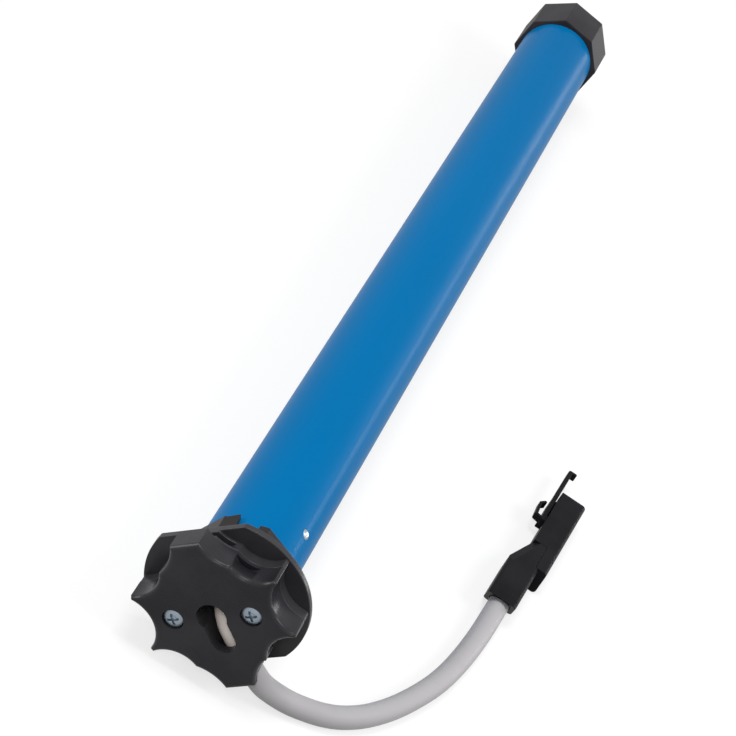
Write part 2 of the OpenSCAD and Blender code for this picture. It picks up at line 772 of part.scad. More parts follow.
module terminal_board() color("#1f6b3a") difference() {
    bar(limit_x1, board_x1, seat_r);
    along_x(limit_x1 - cut) translate([0, seat_r, 0]) cylinder(h = board_t + 2 * cut, r = lead_r);
}

module capacitor() color("#c9cbce") {
    bar(board_x1, capacitor_x1 - shield_rim, capacitor_r);
    bar(capacitor_x1 - shield_rim - fit, capacitor_x1, capacitor_r - shield_rim);
}

module capacitor_sleeve() color("#55565a") sleeve(board_x1, capacitor_x1, seat_r, capacitor_r + fit);

// Brake
module brake_magnet() color("#8b8d92") difference() {
    bar(capacitor_x1, rear_shield_x0, seat_r);
    bar(brake_x1, rear_shield_x0 + cut, seat_r - brake_rim);
    sleeve(capacitor_x1 + brake_back, brake_x1 + cut, seat_r - brake_rim, brake_core_r);
    bar(capacitor_x1 + brake_back, brake_x1 + cut, spring_pocket_r);
}

module brake_winding() color("#b4652f")
    sleeve(capacitor_x1 + brake_back, brake_x1 - face_gap, seat_r - brake_rim - fit, brake_core_r + fit);

module brake_spring() color("#a9abb0") {
    spring_r = spring_pocket_r - spring_wire;
    spring_x0 = capacitor_x1 + brake_back + spring_wire;
    spring_x1 = brake_x1 - spring_wire / 2;
    steps = 10 * spring_turns;
    path = [for (i = [0:steps]) let (a = 36 * i)
        [spring_x0 + (spring_x1 - spring_x0) * i / steps, spring_r * cos(a), spring_r * sin(a)]];
    swept_tube(path, spring_wire / 2, 6, [1, 0, 0]);
}

module brake_armature() color("#7f8288")
    sleeve(armature_x0, armature_x1, seat_r - brake_rim - run, rotor_shaft_r + cut);

module brake_disc() color("#5b4a3c")
    sleeve(disc_x0, disc_x1, seat_r - brake_rim - disc_edge_gap, rotor_shaft_r + fit);

// Motor
module end_shield(plate_x0, rim_x0) {
    bush_r = rotor_shaft_r + run + bush_wall;
    sleeve(plate_x0, plate_x0 + shield_t, seat_r, bush_r + fit);
    sleeve(rim_x0, rim_x0 + end_turn_len, seat_r, seat_r - shield_rim);
}

module rear_shield() color("#a7aaaf") end_shield(rear_shield_x0, rear_shield_x1);

module front_shield() color("#a7aaaf") end_shield(front_shield_x0, stator_x1);

module rotor_bush(x0) {
    sleeve(x0, x0 + shield_t, rotor_shaft_r + run + bush_wall, rotor_shaft_r + run);
}

module rear_bush() color("#b08d4f") rotor_bush(rear_shield_x0);

module front_bush() color("#b08d4f") rotor_bush(front_shield_x0);

module slots_2d(gap) {
    bore = rotor_r + air_gap;
    for (i = [0:stator_slots - 1]) rotate(360 * i / stator_slots)
        translate([bore + shield_rim + gap, -slot_w / 2 + gap])
            square([seat_r - bore - 2 * shield_rim - 2 * gap, slot_w - 2 * gap]);
}

module stator_core() color("#6f7278") difference() {
    sleeve(stator_x0, stator_x1, seat_r, rotor_r + air_gap);
    along_x(stator_x0 - cut) linear_extrude(stator_len + 2 * cut) slots_2d(0);
}

module stator_winding() color("#b4652f") {
    along_x(stator_x0 - fit) linear_extrude(stator_len + 2 * fit) slots_2d(fit);
    for (x0 = [rear_shield_x1 + face_gap, stator_x1])
        sleeve(x0, x0 + end_turn_len - face_gap, seat_r - shield_rim - fit, rotor_r + air_gap + shield_rim);
}

module rotor_core() color("#84878d")
    sleeve(stator_x0 - face_gap, stator_x1 + face_gap, rotor_r, rotor_shaft_r + fit);

module rotor_shaft() color("#b9bcc1") {
    sun_seat_r = gear_m * (sun_teeth / 2 - dedendum) - 1.2;
    bar(disc_x0, gear_x0, rotor_shaft_r);
    bar(gear_x0 - fit, stage_x0[0] + planet_w_1, sun_seat_r);
}

module sun_pinion() color("#9ea1a6") difference() {
    sun_seat_r = gear_m * (sun_teeth / 2 - dedendum) - 1.2;
    along_x(gear_x0) linear_extrude(face_gap + planet_w_1) gear_2d(gear_m, sun_teeth);
    bar(gear_x0 - cut, stage_x0[0] + planet_w_1 + cut, sun_seat_r + fit);
}

// Planetary gearbox
module gear_plate() color("#8b8d92")
    sleeve(front_shield_x1, gear_x0, seat_r, rotor_shaft_r + bush_wall);

module ring_gear() color("#5f6268") difference() {
    bar(gear_x0, gear_x1, seat_r);
    along_x(gear_x0 - cut) linear_extrude(gear_x1 - gear_x0 + 2 * cut) ring_cut_2d(gear_m, ring_teeth, addendum);
}

module planet(stage, place) color("#d8d3c4") along_x(stage_x0[stage - 1]) rotate(120 * place)
    translate([planet_orbit, 0, 0]) linear_extrude(planet_w[stage - 1]) difference() {
        rotate(180 / planet_teeth) gear_2d(gear_m, planet_teeth);
        circle(r = pin_r + run);
    }

module carrier_plate(stage, bore_r) {
    plate_x0 = stage_x0[stage - 1] + planet_w[stage - 1] + face_gap;
    difference() {
        bar(plate_x0, plate_x0 + carrier_t, carrier_r);
        along_x(plate_x0 - cut) for (i = [0:2]) rotate(120 * i) translate([planet_orbit, 0, 0])
            cylinder(h = carrier_t + 2 * cut, r = pin_r + fit);
        if (bore_r > 0) bar(plate_x0 - cut, plate_x0 + carrier_t + cut, bore_r);
    }
}

module carrier_with_sun(stage) {
    carrier_plate(stage, 0);
    along_x(stage_x0[stage] - face_gap - fit) linear_extrude(planet_w[stage] + face_gap + fit)
        gear_2d(gear_m, sun_teeth);
}

module carrier_1() color("#9a9da2") carrier_with_sun(1);

module carrier_2() color("#9a9da2") carrier_with_sun(2);

module carrier_3() color("#9a9da2") carrier_plate(3, output_r + fit);

module planet_pins(stage) color("#c4c7ca") along_x(stage_x0[stage - 1]) for (i = [0:2]) rotate(120 * i)
    translate([planet_orbit, 0, 0]) cylinder(h = planet_w[stage - 1] + face_gap + carrier_t, r = pin_r);

// Output end
module output_shaft() color("#b9bcc1") difference() {
    union() {
        bar(gear_x1 - face_gap - carrier_t, drive_x0, output_r);
        along_x(drive_x0 - fit)
            cylinder(h = drive_len - drive_screw_head_h - fit, r = hex_af / 2 / cos(30), $fn = 6);
    }
    bar(drive_x1 - drive_screw_head_h - drive_screw_len - cut, drive_x1 + cut, drive_screw_r + fit);
}

module output_bushes() color("#b08d4f") for (x0 = [gear_x1, tube_x1 - output_bush_len])
    sleeve(x0, x0 + output_bush_len, output_bush_r, output_r + run);

module end_housing() color("#4b4d52") sleeve(gear_x1, tube_x1, seat_r, output_bush_r + fit);

module octagon_2d(flat) {
    rotate(drive_roll + 22.5) circle(r = flat / cos(22.5), $fn = 8);
}

module drive_adapter() color("#26272b") difference() {
    along_x(drive_x0) linear_extrude(drive_len) octagon_2d(octagon_flat);
    along_x(drive_x0 + drive_web) linear_extrude(drive_len) difference() {
        octagon_2d(octagon_flat - drive_wall);
        circle(r = drive_hub_r);
        for (i = [0:3]) rotate(drive_roll + 22.5 + 45 * i)
            square([4 * octagon_flat, drive_rib], center = true);
    }
    along_x(drive_x0 - cut) cylinder(h = drive_len + 2 * cut, r = (hex_af / 2 + fit) / cos(30), $fn = 6);
    bar(drive_x1 - drive_screw_head_h, drive_x1 + cut, drive_screw_head_r + lead_gap);
}

module drive_screw() color("#c4c7ca") difference() {
    union() {
        bar(drive_x1 - drive_screw_head_h - drive_screw_len, drive_x1, drive_screw_r);
        bar(drive_x1 - drive_screw_head_h, drive_x1, drive_screw_head_r);
    }
    for (turn = [0, 90]) along_x(drive_x1 - drive_screw_head_h / 2) rotate(turn)
        translate([-drive_screw_head_r / 2, -0.6, 0]) cube([drive_screw_head_r, 1.2, drive_screw_head_h]);
}

star_cover();
head_body();
head_screws();
lead_tail();
lead_collar();
power_lead();
plug_sleeve();
plug_body();
plug_contacts();
latch_pin();
plug_latch();
motor_tube();
tube_rivets();
crown_ring();
limit_pinion();
limit_unit();
limit_switches();
terminal_board();
capacitor();
capacitor_sleeve();
brake_magnet();
brake_winding();
brake_spring();
brake_armature();
brake_disc();
rear_shield();
front_shield();
rear_bush();
front_bush();
stator_core();
stator_winding();
rotor_core();
rotor_shaft();
sun_pinion();
gear_plate();
ring_gear();
planet(1, 0);  // planet_1a
planet(1, 1);  // planet_1b
planet(1, 2);  // planet_1c
planet(2, 0);  // planet_2a
planet(2, 1);  // planet_2b
planet(2, 2);  // planet_2c
planet(3, 0);  // planet_3a
planet(3, 1);  // planet_3b
planet(3, 2);  // planet_3c
carrier_1();
carrier_2();
carrier_3();
planet_pins(1);  // pins_1
planet_pins(2);  // pins_2
planet_pins(3);  // pins_3
output_shaft();
output_bushes();
end_housing();
drive_adapter();
drive_screw();
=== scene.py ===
import json
import math
import bmesh
import bpy
from mathutils import Matrix, Vector
from mathutils.geometry import delaunay_2d_cdt

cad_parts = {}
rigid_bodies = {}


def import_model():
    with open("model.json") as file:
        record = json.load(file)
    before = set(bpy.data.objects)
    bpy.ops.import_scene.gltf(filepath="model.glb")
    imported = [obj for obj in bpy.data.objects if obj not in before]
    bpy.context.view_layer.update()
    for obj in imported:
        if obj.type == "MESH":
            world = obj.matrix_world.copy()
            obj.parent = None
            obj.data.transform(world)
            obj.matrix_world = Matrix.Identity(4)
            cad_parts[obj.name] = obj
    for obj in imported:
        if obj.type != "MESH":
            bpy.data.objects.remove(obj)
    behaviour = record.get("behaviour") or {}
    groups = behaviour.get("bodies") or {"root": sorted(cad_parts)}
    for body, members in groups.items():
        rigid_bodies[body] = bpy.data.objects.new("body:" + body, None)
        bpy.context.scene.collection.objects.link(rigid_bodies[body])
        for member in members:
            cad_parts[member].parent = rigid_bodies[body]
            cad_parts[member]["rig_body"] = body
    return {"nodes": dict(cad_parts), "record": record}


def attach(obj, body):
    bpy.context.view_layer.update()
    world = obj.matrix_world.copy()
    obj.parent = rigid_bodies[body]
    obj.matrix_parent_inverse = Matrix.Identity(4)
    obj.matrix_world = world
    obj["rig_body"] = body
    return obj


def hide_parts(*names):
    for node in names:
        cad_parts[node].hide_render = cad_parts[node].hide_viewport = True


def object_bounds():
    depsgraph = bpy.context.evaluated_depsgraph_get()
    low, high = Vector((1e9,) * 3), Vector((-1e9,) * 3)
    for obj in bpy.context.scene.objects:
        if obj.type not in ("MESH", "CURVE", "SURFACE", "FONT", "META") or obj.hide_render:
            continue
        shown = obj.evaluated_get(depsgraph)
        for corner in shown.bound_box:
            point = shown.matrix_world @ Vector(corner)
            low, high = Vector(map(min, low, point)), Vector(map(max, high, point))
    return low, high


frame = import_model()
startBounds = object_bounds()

scene = bpy.context.scene
nodes = frame["nodes"]
mm = 0.001
print("stage: frame loaded")

# camera, from in front of the star and above
camera = {
    "place": (-0.62254, -0.00100, 0.55320),
    "right": (0.29891, -0.85354, 0.42676),
    "up": (0.48967, 0.52103, 0.69911),
    "lens": 124.594,
    "sensor": 36,
    "near": 0.01,
    "far": 60,
}
camData = bpy.data.cameras.new("view_camera")
camData.lens = camera["lens"]
camData.sensor_width = camera["sensor"]
camData.clip_start = camera["near"]
camData.clip_end = camera["far"]
camObj = bpy.data.objects.new("view_camera", camData)
scene.collection.objects.link(camObj)
right = Vector(camera["right"]).normalized()
up = Vector(camera["up"]).normalized()
back = right.cross(up)
turn = Matrix((right, up, back)).transposed().to_4x4()
camObj.matrix_world = Matrix.Translation(camera["place"]) @ turn
scene.camera = camObj
print("stage: camera")


class Sock:
    def __init__(self, tree, out):
        self.tree = tree
        self.out = out

    def node(self, kind, settings=None, outName=0, **inputs):
        n = self.tree.nodes.new(kind)
        for key, value in (settings or {}).items():
            setattr(n, key, value)
        for key, value in inputs.items():
            byNumber = key[0] == "i" and key[1:].isdigit()  # i0 is the first socket
            target = n.inputs[int(key[1:]) if byNumber else key.replace("_", " ")]
            if isinstance(value, Sock):
                self.tree.links.new(value.out, target)
            else:
                target.default_value = value
        return Sock(self.tree, n.outputs[outName])

    def math(self, op, other=0.0, third=0.0):
        return self.node("ShaderNodeMath", {"operation": op}, i0=self, i1=other, i2=third)

    def __add__(self, other):
        return self.math("ADD", other)

    def __radd__(self, other):
        return self.math("ADD", other)

    def __sub__(self, other):
        return self.math("SUBTRACT", other)

    def __rsub__(self, other):
        return self.math("MULTIPLY_ADD", -1.0, other)

    def __mul__(self, other):
        return self.math("MULTIPLY", other)

    def __rmul__(self, other):
        return self.math("MULTIPLY", other)

    def ramp(self, low, high):
        smooth = {"interpolation_type": "SMOOTHSTEP"}
        return self.node("ShaderNodeMapRange", smooth, Value=self, From_Min=low, From_Max=high)

    def mix(self, a, b):
        return self.node("ShaderNodeMix", {"data_type": "RGBA"}, 2, i0=self, i6=a, i7=b)


def rgb(r, g, b):
    def lin(c):
        c = c / 255
        return c / 12.92 if c <= 0.04045 else ((c + 0.055) / 1.055) ** 2.4
    return (lin(r), lin(g), lin(b), 1)


def grey(level):
    return (level, level, level, 1)


def shade(base, gain, lift=0.0):
    return tuple(min(1, c * gain + lift) for c in base[:3]) + (1,)


class Material:
    def __init__(self, name):
        self.mat = bpy.data.materials.new(name)
        self.mat.use_nodes = True
        self.tree = self.mat.node_tree
        self.shader = next(n for n in self.tree.nodes if n.type == "BSDF_PRINCIPLED")
        coord = self.tree.nodes.new("ShaderNodeTexCoord")
        self.place = Sock(self.tree, coord.outputs["Object"])

    def noise(self, scale, detail, stretch=(1, 1, 1)):
        at = self.place.node("ShaderNodeMapping", Vector=self.place, Scale=stretch)
        return self.place.node("ShaderNodeTexNoise", {}, "Fac", Vector=at, Scale=scale, Detail=detail,
                               Roughness=0.55)

    def set(self, **values):
        for key, value in values.items():
            target = self.shader.inputs[key.replace("_", " ")]
            if isinstance(value, Sock):
                self.tree.links.new(value.out, target)
            else:
                target.default_value = value
        return self

    def bump(self, height, strength, distance):
        out = self.place.node("ShaderNodeBump", Height=height, Strength=strength, Distance=distance)
        self.tree.links.new(out.out, self.shader.inputs["Normal"])
        return self


# in the finishes, scales are per metre of surface and depths are in metres
moulded = {
    "cloudScale": 38, "cloudRamp": (0.3, 0.7), "cloudRough": 0.12,
    "dark": 0.78, "light": 1.25, "lift": 0.004,
    "speckScale": 900, "speckRamp": (0.62, 0.8), "dustGrey": 0.2,
    "grainRough": 0.06, "grainShare": 0.7, "waveScale": 520, "bump": 0.35,
}


def mouldedPlastic(name, base, rough, grain=2600, depth=0.06 * mm, dust=0.12, gloss=0.5):
    m = Material(name)
    cloud = m.noise(moulded["cloudScale"], 4)
    fine = m.noise(grain, 2)
    speck = m.noise(moulded["speckScale"], 3).ramp(*moulded["speckRamp"])
    dark = shade(base, moulded["dark"])
    light = shade(base, moulded["light"], moulded["lift"])
    dusty = shade(base, 1 - dust, moulded["dustGrey"] * dust)
    plain = cloud.ramp(*moulded["cloudRamp"]).mix(dark, light)
    level = rough - (moulded["cloudRough"] + moulded["grainRough"]) / 2
    m.set(Base_Color=(speck * dust).mix(plain, dusty),
          Roughness=cloud * moulded["cloudRough"] + fine * moulded["grainRough"] + level,
          Specular_IOR_Level=gloss)
    wave = m.noise(moulded["waveScale"], 2)
    height = fine * moulded["grainShare"] + wave * (1 - moulded["grainShare"])
    m.bump(height, moulded["bump"], depth)
    return m.mat


enamelled = {
    "cloudScale": 30, "cloudStretch": (0.2, 1, 1), "cloudRough": 0.06, "dark": 0.93, "light": 1.06,
    "scuffScale": 240, "scuffStretch": (0.06, 1, 1), "scuffRamp": (0.66, 0.74), "scuffRough": 0.1,
    "peelScale": 420, "bump": 0.12, "depth": 0.05 * mm, "gloss": 0.02,
}


def enamel(name, base, rough):
    m = Material(name)
    cloud = m.noise(enamelled["cloudScale"], 3, enamelled["cloudStretch"])
    peel = m.noise(enamelled["peelScale"], 2)
    scuff = m.noise(enamelled["scuffScale"], 5, enamelled["scuffStretch"]).ramp(*enamelled["scuffRamp"])
    m.set(Base_Color=cloud.mix(shade(base, enamelled["dark"]), shade(base, enamelled["light"])),
          Roughness=scuff * enamelled["scuffRough"] + cloud * enamelled["cloudRough"] + rough,
          Specular_IOR_Level=enamelled["gloss"])
    m.bump(peel, enamelled["bump"], enamelled["depth"])
    return m.mat


brushed = {
    "brushRough": 0.16, "stainScale": 90, "stainRamp": (0.45, 0.75), "stainRough": 0.08,
    "stainShare": 0.6, "dark": 0.8, "bump": 0.2, "depth": 0.03 * mm,
}


def metal(name, base, rough, stretch=(1, 1, 1), scale=700):
    m = Material(name)
    brush = m.noise(scale, 3, stretch)
    stain = m.noise(brushed["stainScale"], 4).ramp(*brushed["stainRamp"])
    level = rough - brushed["brushRough"] / 2
    m.set(Base_Color=(stain * brushed["stainShare"]).mix(base, shade(base, brushed["dark"])),
          Metallic=1.0,
          Roughness=brush * brushed["brushRough"] + stain * brushed["stainRough"] + level)
    m.bump(brush, brushed["bump"], brushed["depth"])
    return m.mat


jacketed = {
    "cloudScale": 60, "cloudRough": 0.1, "rough": 0.42, "gloss": 0.2,
    "smudgeScale": 130, "smudgeRamp": (0.55, 0.8), "smudgeShare": 0.35, "dark": 0.86,
    "grainScale": 1500, "bump": 0.15, "depth": 0.05 * mm,
}


def jacket(name, base):
    m = Material(name)
    cloud = m.noise(jacketed["cloudScale"], 3)
    fine = m.noise(jacketed["grainScale"], 2)
    smudge = m.noise(jacketed["smudgeScale"], 4).ramp(*jacketed["smudgeRamp"])
    m.set(Base_Color=(smudge * jacketed["smudgeShare"]).mix(base, shade(base, jacketed["dark"])),
          Roughness=cloud * jacketed["cloudRough"] + jacketed["rough"],
          Specular_IOR_Level=jacketed["gloss"])
    m.bump(fine, jacketed["bump"], jacketed["depth"])
    return m.mat


looks = {
    "cover_plastic": mouldedPlastic("cover_plastic", rgb(37, 36, 40), 0.28, gloss=0.17),
    "head_plastic": mouldedPlastic("head_plastic", rgb(45, 44, 47), 0.3, gloss=0.18),
    "crown_plastic": mouldedPlastic("crown_plastic", rgb(34, 30, 32), 0.42, gloss=0.16),
    "drive_plastic": mouldedPlastic("drive_plastic", rgb(47, 45, 48), 0.46, gloss=0.06),
    "plug_plastic": mouldedPlastic("plug_plastic", rgb(18, 18, 21), 0.44, gloss=0.05),
    "tube_paint": enamel("tube_paint", rgb(0, 102, 158), 0.27),
    "lead_jacket": jacket("lead_jacket", rgb(168, 166, 168)),
    # painted light: a lighter, cream copy of the lead_jacket colour that lifts the lead inside the keyhole
    # out of the keyhole's shade
    "keyhole_lit_lead": jacket("keyhole_lit_lead", rgb(232, 221, 213)),
    "bright_zinc": metal("bright_zinc", rgb(168, 174, 181), 0.34),
    "screw_zinc": metal("screw_zinc", rgb(146, 158, 168), 0.44),
    "ground_steel": metal("ground_steel", rgb(180, 183, 187), 0.3, stretch=(0.1, 1, 1)),
    "sintered_steel": metal("sintered_steel", rgb(138, 140, 144), 0.5, scale=1400),
    "lamination": metal("lamination", rgb(130, 132, 137), 0.42, stretch=(3, 0.1, 0.1)),
    "copper_wire": metal("copper_wire", rgb(196, 112, 62), 0.34, stretch=(0.15, 2, 2)),
    "bronze": metal("bronze", rgb(190, 146, 84), 0.42),
    "contact_brass": metal("contact_brass", rgb(216, 180, 92), 0.28),
    "gear_nylon": mouldedPlastic("gear_nylon", rgb(216, 211, 196), 0.42, dust=0.05),
    "unit_nylon": mouldedPlastic("unit_nylon", rgb(224, 221, 210), 0.42, dust=0.05),
    "switch_case": mouldedPlastic("switch_case", rgb(44, 44, 50), 0.3),
    "board_laminate": mouldedPlastic("board_laminate", rgb(32, 100, 58), 0.32),
    "capacitor_can": metal("capacitor_can", rgb(206, 208, 211), 0.3, stretch=(0.1, 1, 1)),
    "foam_rubber": mouldedPlastic("foam_rubber", rgb(52, 52, 54), 0.7, grain=1200, depth=0.2 * mm),
    "die_casting": metal("die_casting", rgb(172, 175, 180), 0.46, scale=1100),
    "friction_lining": mouldedPlastic("friction_lining", rgb(84, 68, 56), 0.8, grain=1400, depth=0.2 * mm),
    "spring_steel": metal("spring_steel", rgb(160, 163, 168), 0.3),
}
slotOf = {row["node"]: row["material_slot"] for row in frame["record"]["subparts"]}
bodyOf = {nodeName: obj["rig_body"] for nodeName, obj in nodes.items()}
for nodeName, obj in nodes.items():
    obj.data.materials.clear()
    obj.data.materials.append(looks[slotOf[nodeName]])
print("stage: materials")


def meshOf(bm, name):
    mesh = bpy.data.meshes.new(name)
    bm.to_mesh(mesh)
    bm.free()
    return mesh


sharpAngle = math.radians(32)


# look is given where a piece takes another material than its slot's own, such as a lighter copy of that
# material with painted light
def addPiece(name, mesh, body, slotName, replaced, look=None):
    obj = bpy.data.objects.new(name, mesh)
    scene.collection.objects.link(obj)
    for poly in mesh.polygons:
        poly.use_smooth = True
    mesh.set_sharp_from_angle(angle=sharpAngle)
    mesh.materials.clear()
    mesh.materials.append(looks[look or slotName])
    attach(obj, body)
    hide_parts(replaced)
    flatten = obj.modifiers.new("flat_faces", "WEIGHTED_NORMAL")
    flatten.keep_sharp = True
    return obj


# the free lead, from the head to the plug; route in mm
lead = {
    "diameter": 8.2 * mm,
    "sides": 28,
    "perSpan": 5,
    "route": [
        (8, -18.4, -15.4), (8, -20.4, -17.1), (8.6, -25.3, -20.6), (10, -30, -22.8),
        (12, -36.5, -24.6), (13.8, -42.3, -25.1), (16, -48.5, -25.1), (20, -55, -25.1),
        (27, -62, -25.1), (37.5, -69, -25.1), (50, -75, -25.1), (63, -79.7, -25.1),
        (78, -83.1, -25.1), (94, -85.4, -24.9), (108, -86.6, -24.3), (121, -87.5, -23.7),
    ],
}


def smoothPath(points, perSpan):
    pts = [Vector(p) * mm for p in points]
    out = []
    for i in range(len(pts) - 1):
        p0, p1, p2, p3 = pts[max(i - 1, 0)], pts[i], pts[i + 1], pts[min(i + 2, len(pts) - 1)]
        for k in range(perSpan):
            t = k / perSpan
            out.append(0.5 * (2 * p1 + (p2 - p0) * t + (2 * p0 - 5 * p1 + 4 * p2 - p3) * t * t
                              + (3 * p1 - 3 * p2 + p3 - p0) * t ** 3))
    out.append(pts[-1])
    return out


# across is a direction that the path never runs along
def tubeMesh(name, path, radius, sides, across):
    bm = bmesh.new()
    rings = []
    for i, p in enumerate(path):
        t = (path[min(i + 1, len(path) - 1)] - path[max(i - 1, 0)]).normalized()
        a = Vector(across).cross(t).normalized()
        b = t.cross(a)
        ring = []
        for k in range(sides):
            angle = 2 * math.pi * k / sides
            ring.append(bm.verts.new(p + radius * (math.cos(angle) * a + math.sin(angle) * b)))
        rings.append(ring)
    for r0, r1 in zip(rings, rings[1:]):
        for k in range(sides):
            bm.faces.new((r0[k], r0[(k + 1) % sides], r1[(k + 1) % sides], r1[k]))
    bm.faces.new(list(reversed(rings[0])))
    bm.faces.new(rings[-1])
    bmesh.ops.recalc_face_normals(bm, faces=bm.faces)
    return meshOf(bm, name)


leadRadius = lead["diameter"] / 2
leadPath = smoothPath(lead["route"], lead["perSpan"])
leadMesh = tubeMesh("lead_free", leadPath, leadRadius, lead["sides"], (0, 0, 1))
leadObj = addPiece("lead_free", leadMesh, "motor", "lead_jacket", "power_lead")
leadLength = sum((b - a).length for a, b in zip(leadPath, leadPath[1:]))

# the lead inside the head, which shows through the keyhole; lengths in mm
tail = {"x": 8, "bend": 10, "angle": 220, "from": 38, "exit": 24, "steps": 12}
tailAngle = math.radians(tail["angle"])
outward = Vector((0, math.cos(tailAngle), math.sin(tailAngle)))
tailPath = [Vector((tail["from"], 0, 0))]
for i in range(tail["steps"] + 1):
    a = math.radians(90 * i / tail["steps"])
    along = Vector((tail["x"] + tail["bend"] * (1 - math.sin(a)), 0, 0))
    tailPath.append(along + outward * tail["bend"] * (1 - math.cos(a)))
tailPath.append(Vector((tail["x"], 0, 0)) + outward * tail["exit"])
tailPath = [p * mm for p in tailPath]
tailMesh = tubeMesh("lead_inner", tailPath, leadRadius, lead["sides"], (0, -outward.z, outward.y))
# the inner stretch takes the lighter copy of the jacket colour, painted light against the shade of the
# keyhole walls
addPiece("lead_inner", tailMesh, "motor", "lead_jacket", "lead_tail", look="keyhole_lit_lead")
print("stage: lead", round(leadLength, 4))

# welded copies of the solids, in metres
cleaning = {"weld": 2e-6, "sliver": 1e-6, "flat": math.radians(0.4)}


def cleanMesh(nodeName):
    bm = bmesh.new()
    bm.from_mesh(nodes[nodeName].data)
    bmesh.ops.remove_doubles(bm, verts=bm.verts, dist=cleaning["weld"])
    bmesh.ops.dissolve_degenerate(bm, dist=cleaning["sliver"], edges=bm.edges)
    bmesh.ops.dissolve_limit(bm, angle_limit=cleaning["flat"], verts=bm.verts, edges=bm.edges)
    bm.normal_update()
    return bm


def dressNode(nodeName, bm):
    mesh = meshOf(bm, nodeName + "_look")
    return addPiece(nodeName + "_look", mesh, bodyOf[nodeName], slotOf[nodeName], nodeName)


def axisRadius(edge):
    return min(math.hypot(v.co.y, v.co.z) for v in edge.verts)


# pieces whose outer edges are rounded; edges nearer the axis than minRadius stay sharp
softEdges = {
    "head_body": {"width": 0.35 * mm, "minRadius": 20 * mm},
    "crown_ring": {"width": 0.25 * mm, "minRadius": 18.5 * mm},
    "drive_adapter": {"width": 0.45 * mm, "minRadius": 18.5 * mm},
    "plug_sleeve": {"width": 0.26 * mm},
    "plug_body": {"width": 0.26 * mm},
    "plug_latch": {"width": 0.2 * mm},
    "motor_tube": {"width": 0.15 * mm},
}
rounding = {"segments": 3, "edgeAngle": math.radians(30), "leastArea": 1e-9}


def soften(nodeName, width, minRadius=0.0):
    bm = cleanMesh(nodeName)
    picked = []
    for e in bm.edges:
        sound = len(e.link_faces) == 2 and min(f.calc_area() for f in e.link_faces) > rounding["leastArea"]
        if sound and axisRadius(e) >= minRadius and e.calc_face_angle_signed(0) > rounding["edgeAngle"]:
            picked.append(e)
    bmesh.ops.bevel(bm, geom=picked, offset=width, offset_type="OFFSET", segments=rounding["segments"],
                    profile=0.5, affect="EDGES", clamp_overlap=False, material=-1)
    bmesh.ops.dissolve_degenerate(bm, dist=cleaning["sliver"], edges=bm.edges)
    dressNode(nodeName, bm)


for nodeName, spec in softEdges.items():
    soften(nodeName, **spec)

# the star's rounded front rim, which a bevel would fold over at the points
rim = {
    "node": "star_cover",
    "radius": 1.7 * mm,
    "steps": 7,
    "minRadius": 19 * mm,
    "merge": 0.06 * mm,
    "flatness": 0.02 * mm,
}


def gapToRing(q, ring):
    best = math.inf
    for a, b in zip(ring, ring[1:] + ring[:1]):
        ab = b - a
        t = max(0.0, min(1.0, (q - a).dot(ab) / max(ab.length_squared, 1e-18)))
        best = min(best, (q - a - ab * t).length)
    return best


def crossing(a, b, c, d):
    u = b - a
    v = d - c
    den = u.x * v.y - u.y * v.x
    if abs(den) < 1e-14:  # parallel lines
        return (b + c) / 2
    return a + u * (((c - a).x * v.y - (c - a).y * v.x) / den)


def insetRing(ring, inward, dist, merge):
    count = len(ring)
    moved = []
    for i in range(count):
        n0 = inward[i - 1]
        n1 = inward[i]
        moved.append(ring[i] + (n0 + n1) * (dist / (1 + n0.dot(n1))))
    # a point that isn't dist from the ring has crossed over at a tip
    good = [abs(gapToRing(q, ring) - dist) < 0.02 * dist for q in moved]
    start = next(i for i in range(count) if good[i] and good[i - 1])
    i = start
    while i < start + count:
        if good[i % count]:
            i += 1
            continue
        j = i
        while not good[j % count]:
            j += 1
        arriving = (moved[(i - 2) % count], moved[(i - 1) % count])
        leaving = (moved[j % count], moved[(j + 1) % count])
        tip = crossing(*arriving, *leaving)
        for k in range(i, j):
            moved[k % count] = tip
        i = j
    for i in range(count):
        if (moved[i] - moved[i - 1]).length < merge:
            moved[i] = moved[i - 1]
    return moved


def walkLoop(edges):
    beside = {}
    for e in edges:
        for v in e.verts:
            beside.setdefault(v, []).append(e.other_vert(v))
    loop = list(edges[0].verts)
    while True:
        step = next(v for v in beside[loop[-1]] if v is not loop[-2])
        if step is loop[0]:
            return loop
        loop.append(step)


def inside(at, points, lines):
    crossed = 0
    for a, b in lines:
        p = points[a]
        q = points[b]
        if (p.y > at.y) != (q.y > at.y) and at.x < p.x + (at.y - p.y) * (q.x - p.x) / (q.y - p.y):
            crossed += 1
    return crossed % 2 == 1


# fills the flat front between its border edges, worked out in mm
def fillFront(bm, pairs):
    corners = list(dict.fromkeys(v for pair in pairs for v in pair))
    index = {v: n for n, v in enumerate(corners)}
    flat = [Vector((v.co.y, v.co.z)) / mm for v in corners]
    lines = [(index[a], index[b]) for a, b in pairs]
    points, _, faces, sources, _, _ = delaunay_2d_cdt(flat, lines, [], 1, 1e-5)
    for face in faces:
        middle = sum((points[n] for n in face), Vector((0, 0))) / len(face)
        if inside(middle, flat, lines):
            bm.faces.new([corners[sources[n][0]] for n in face])


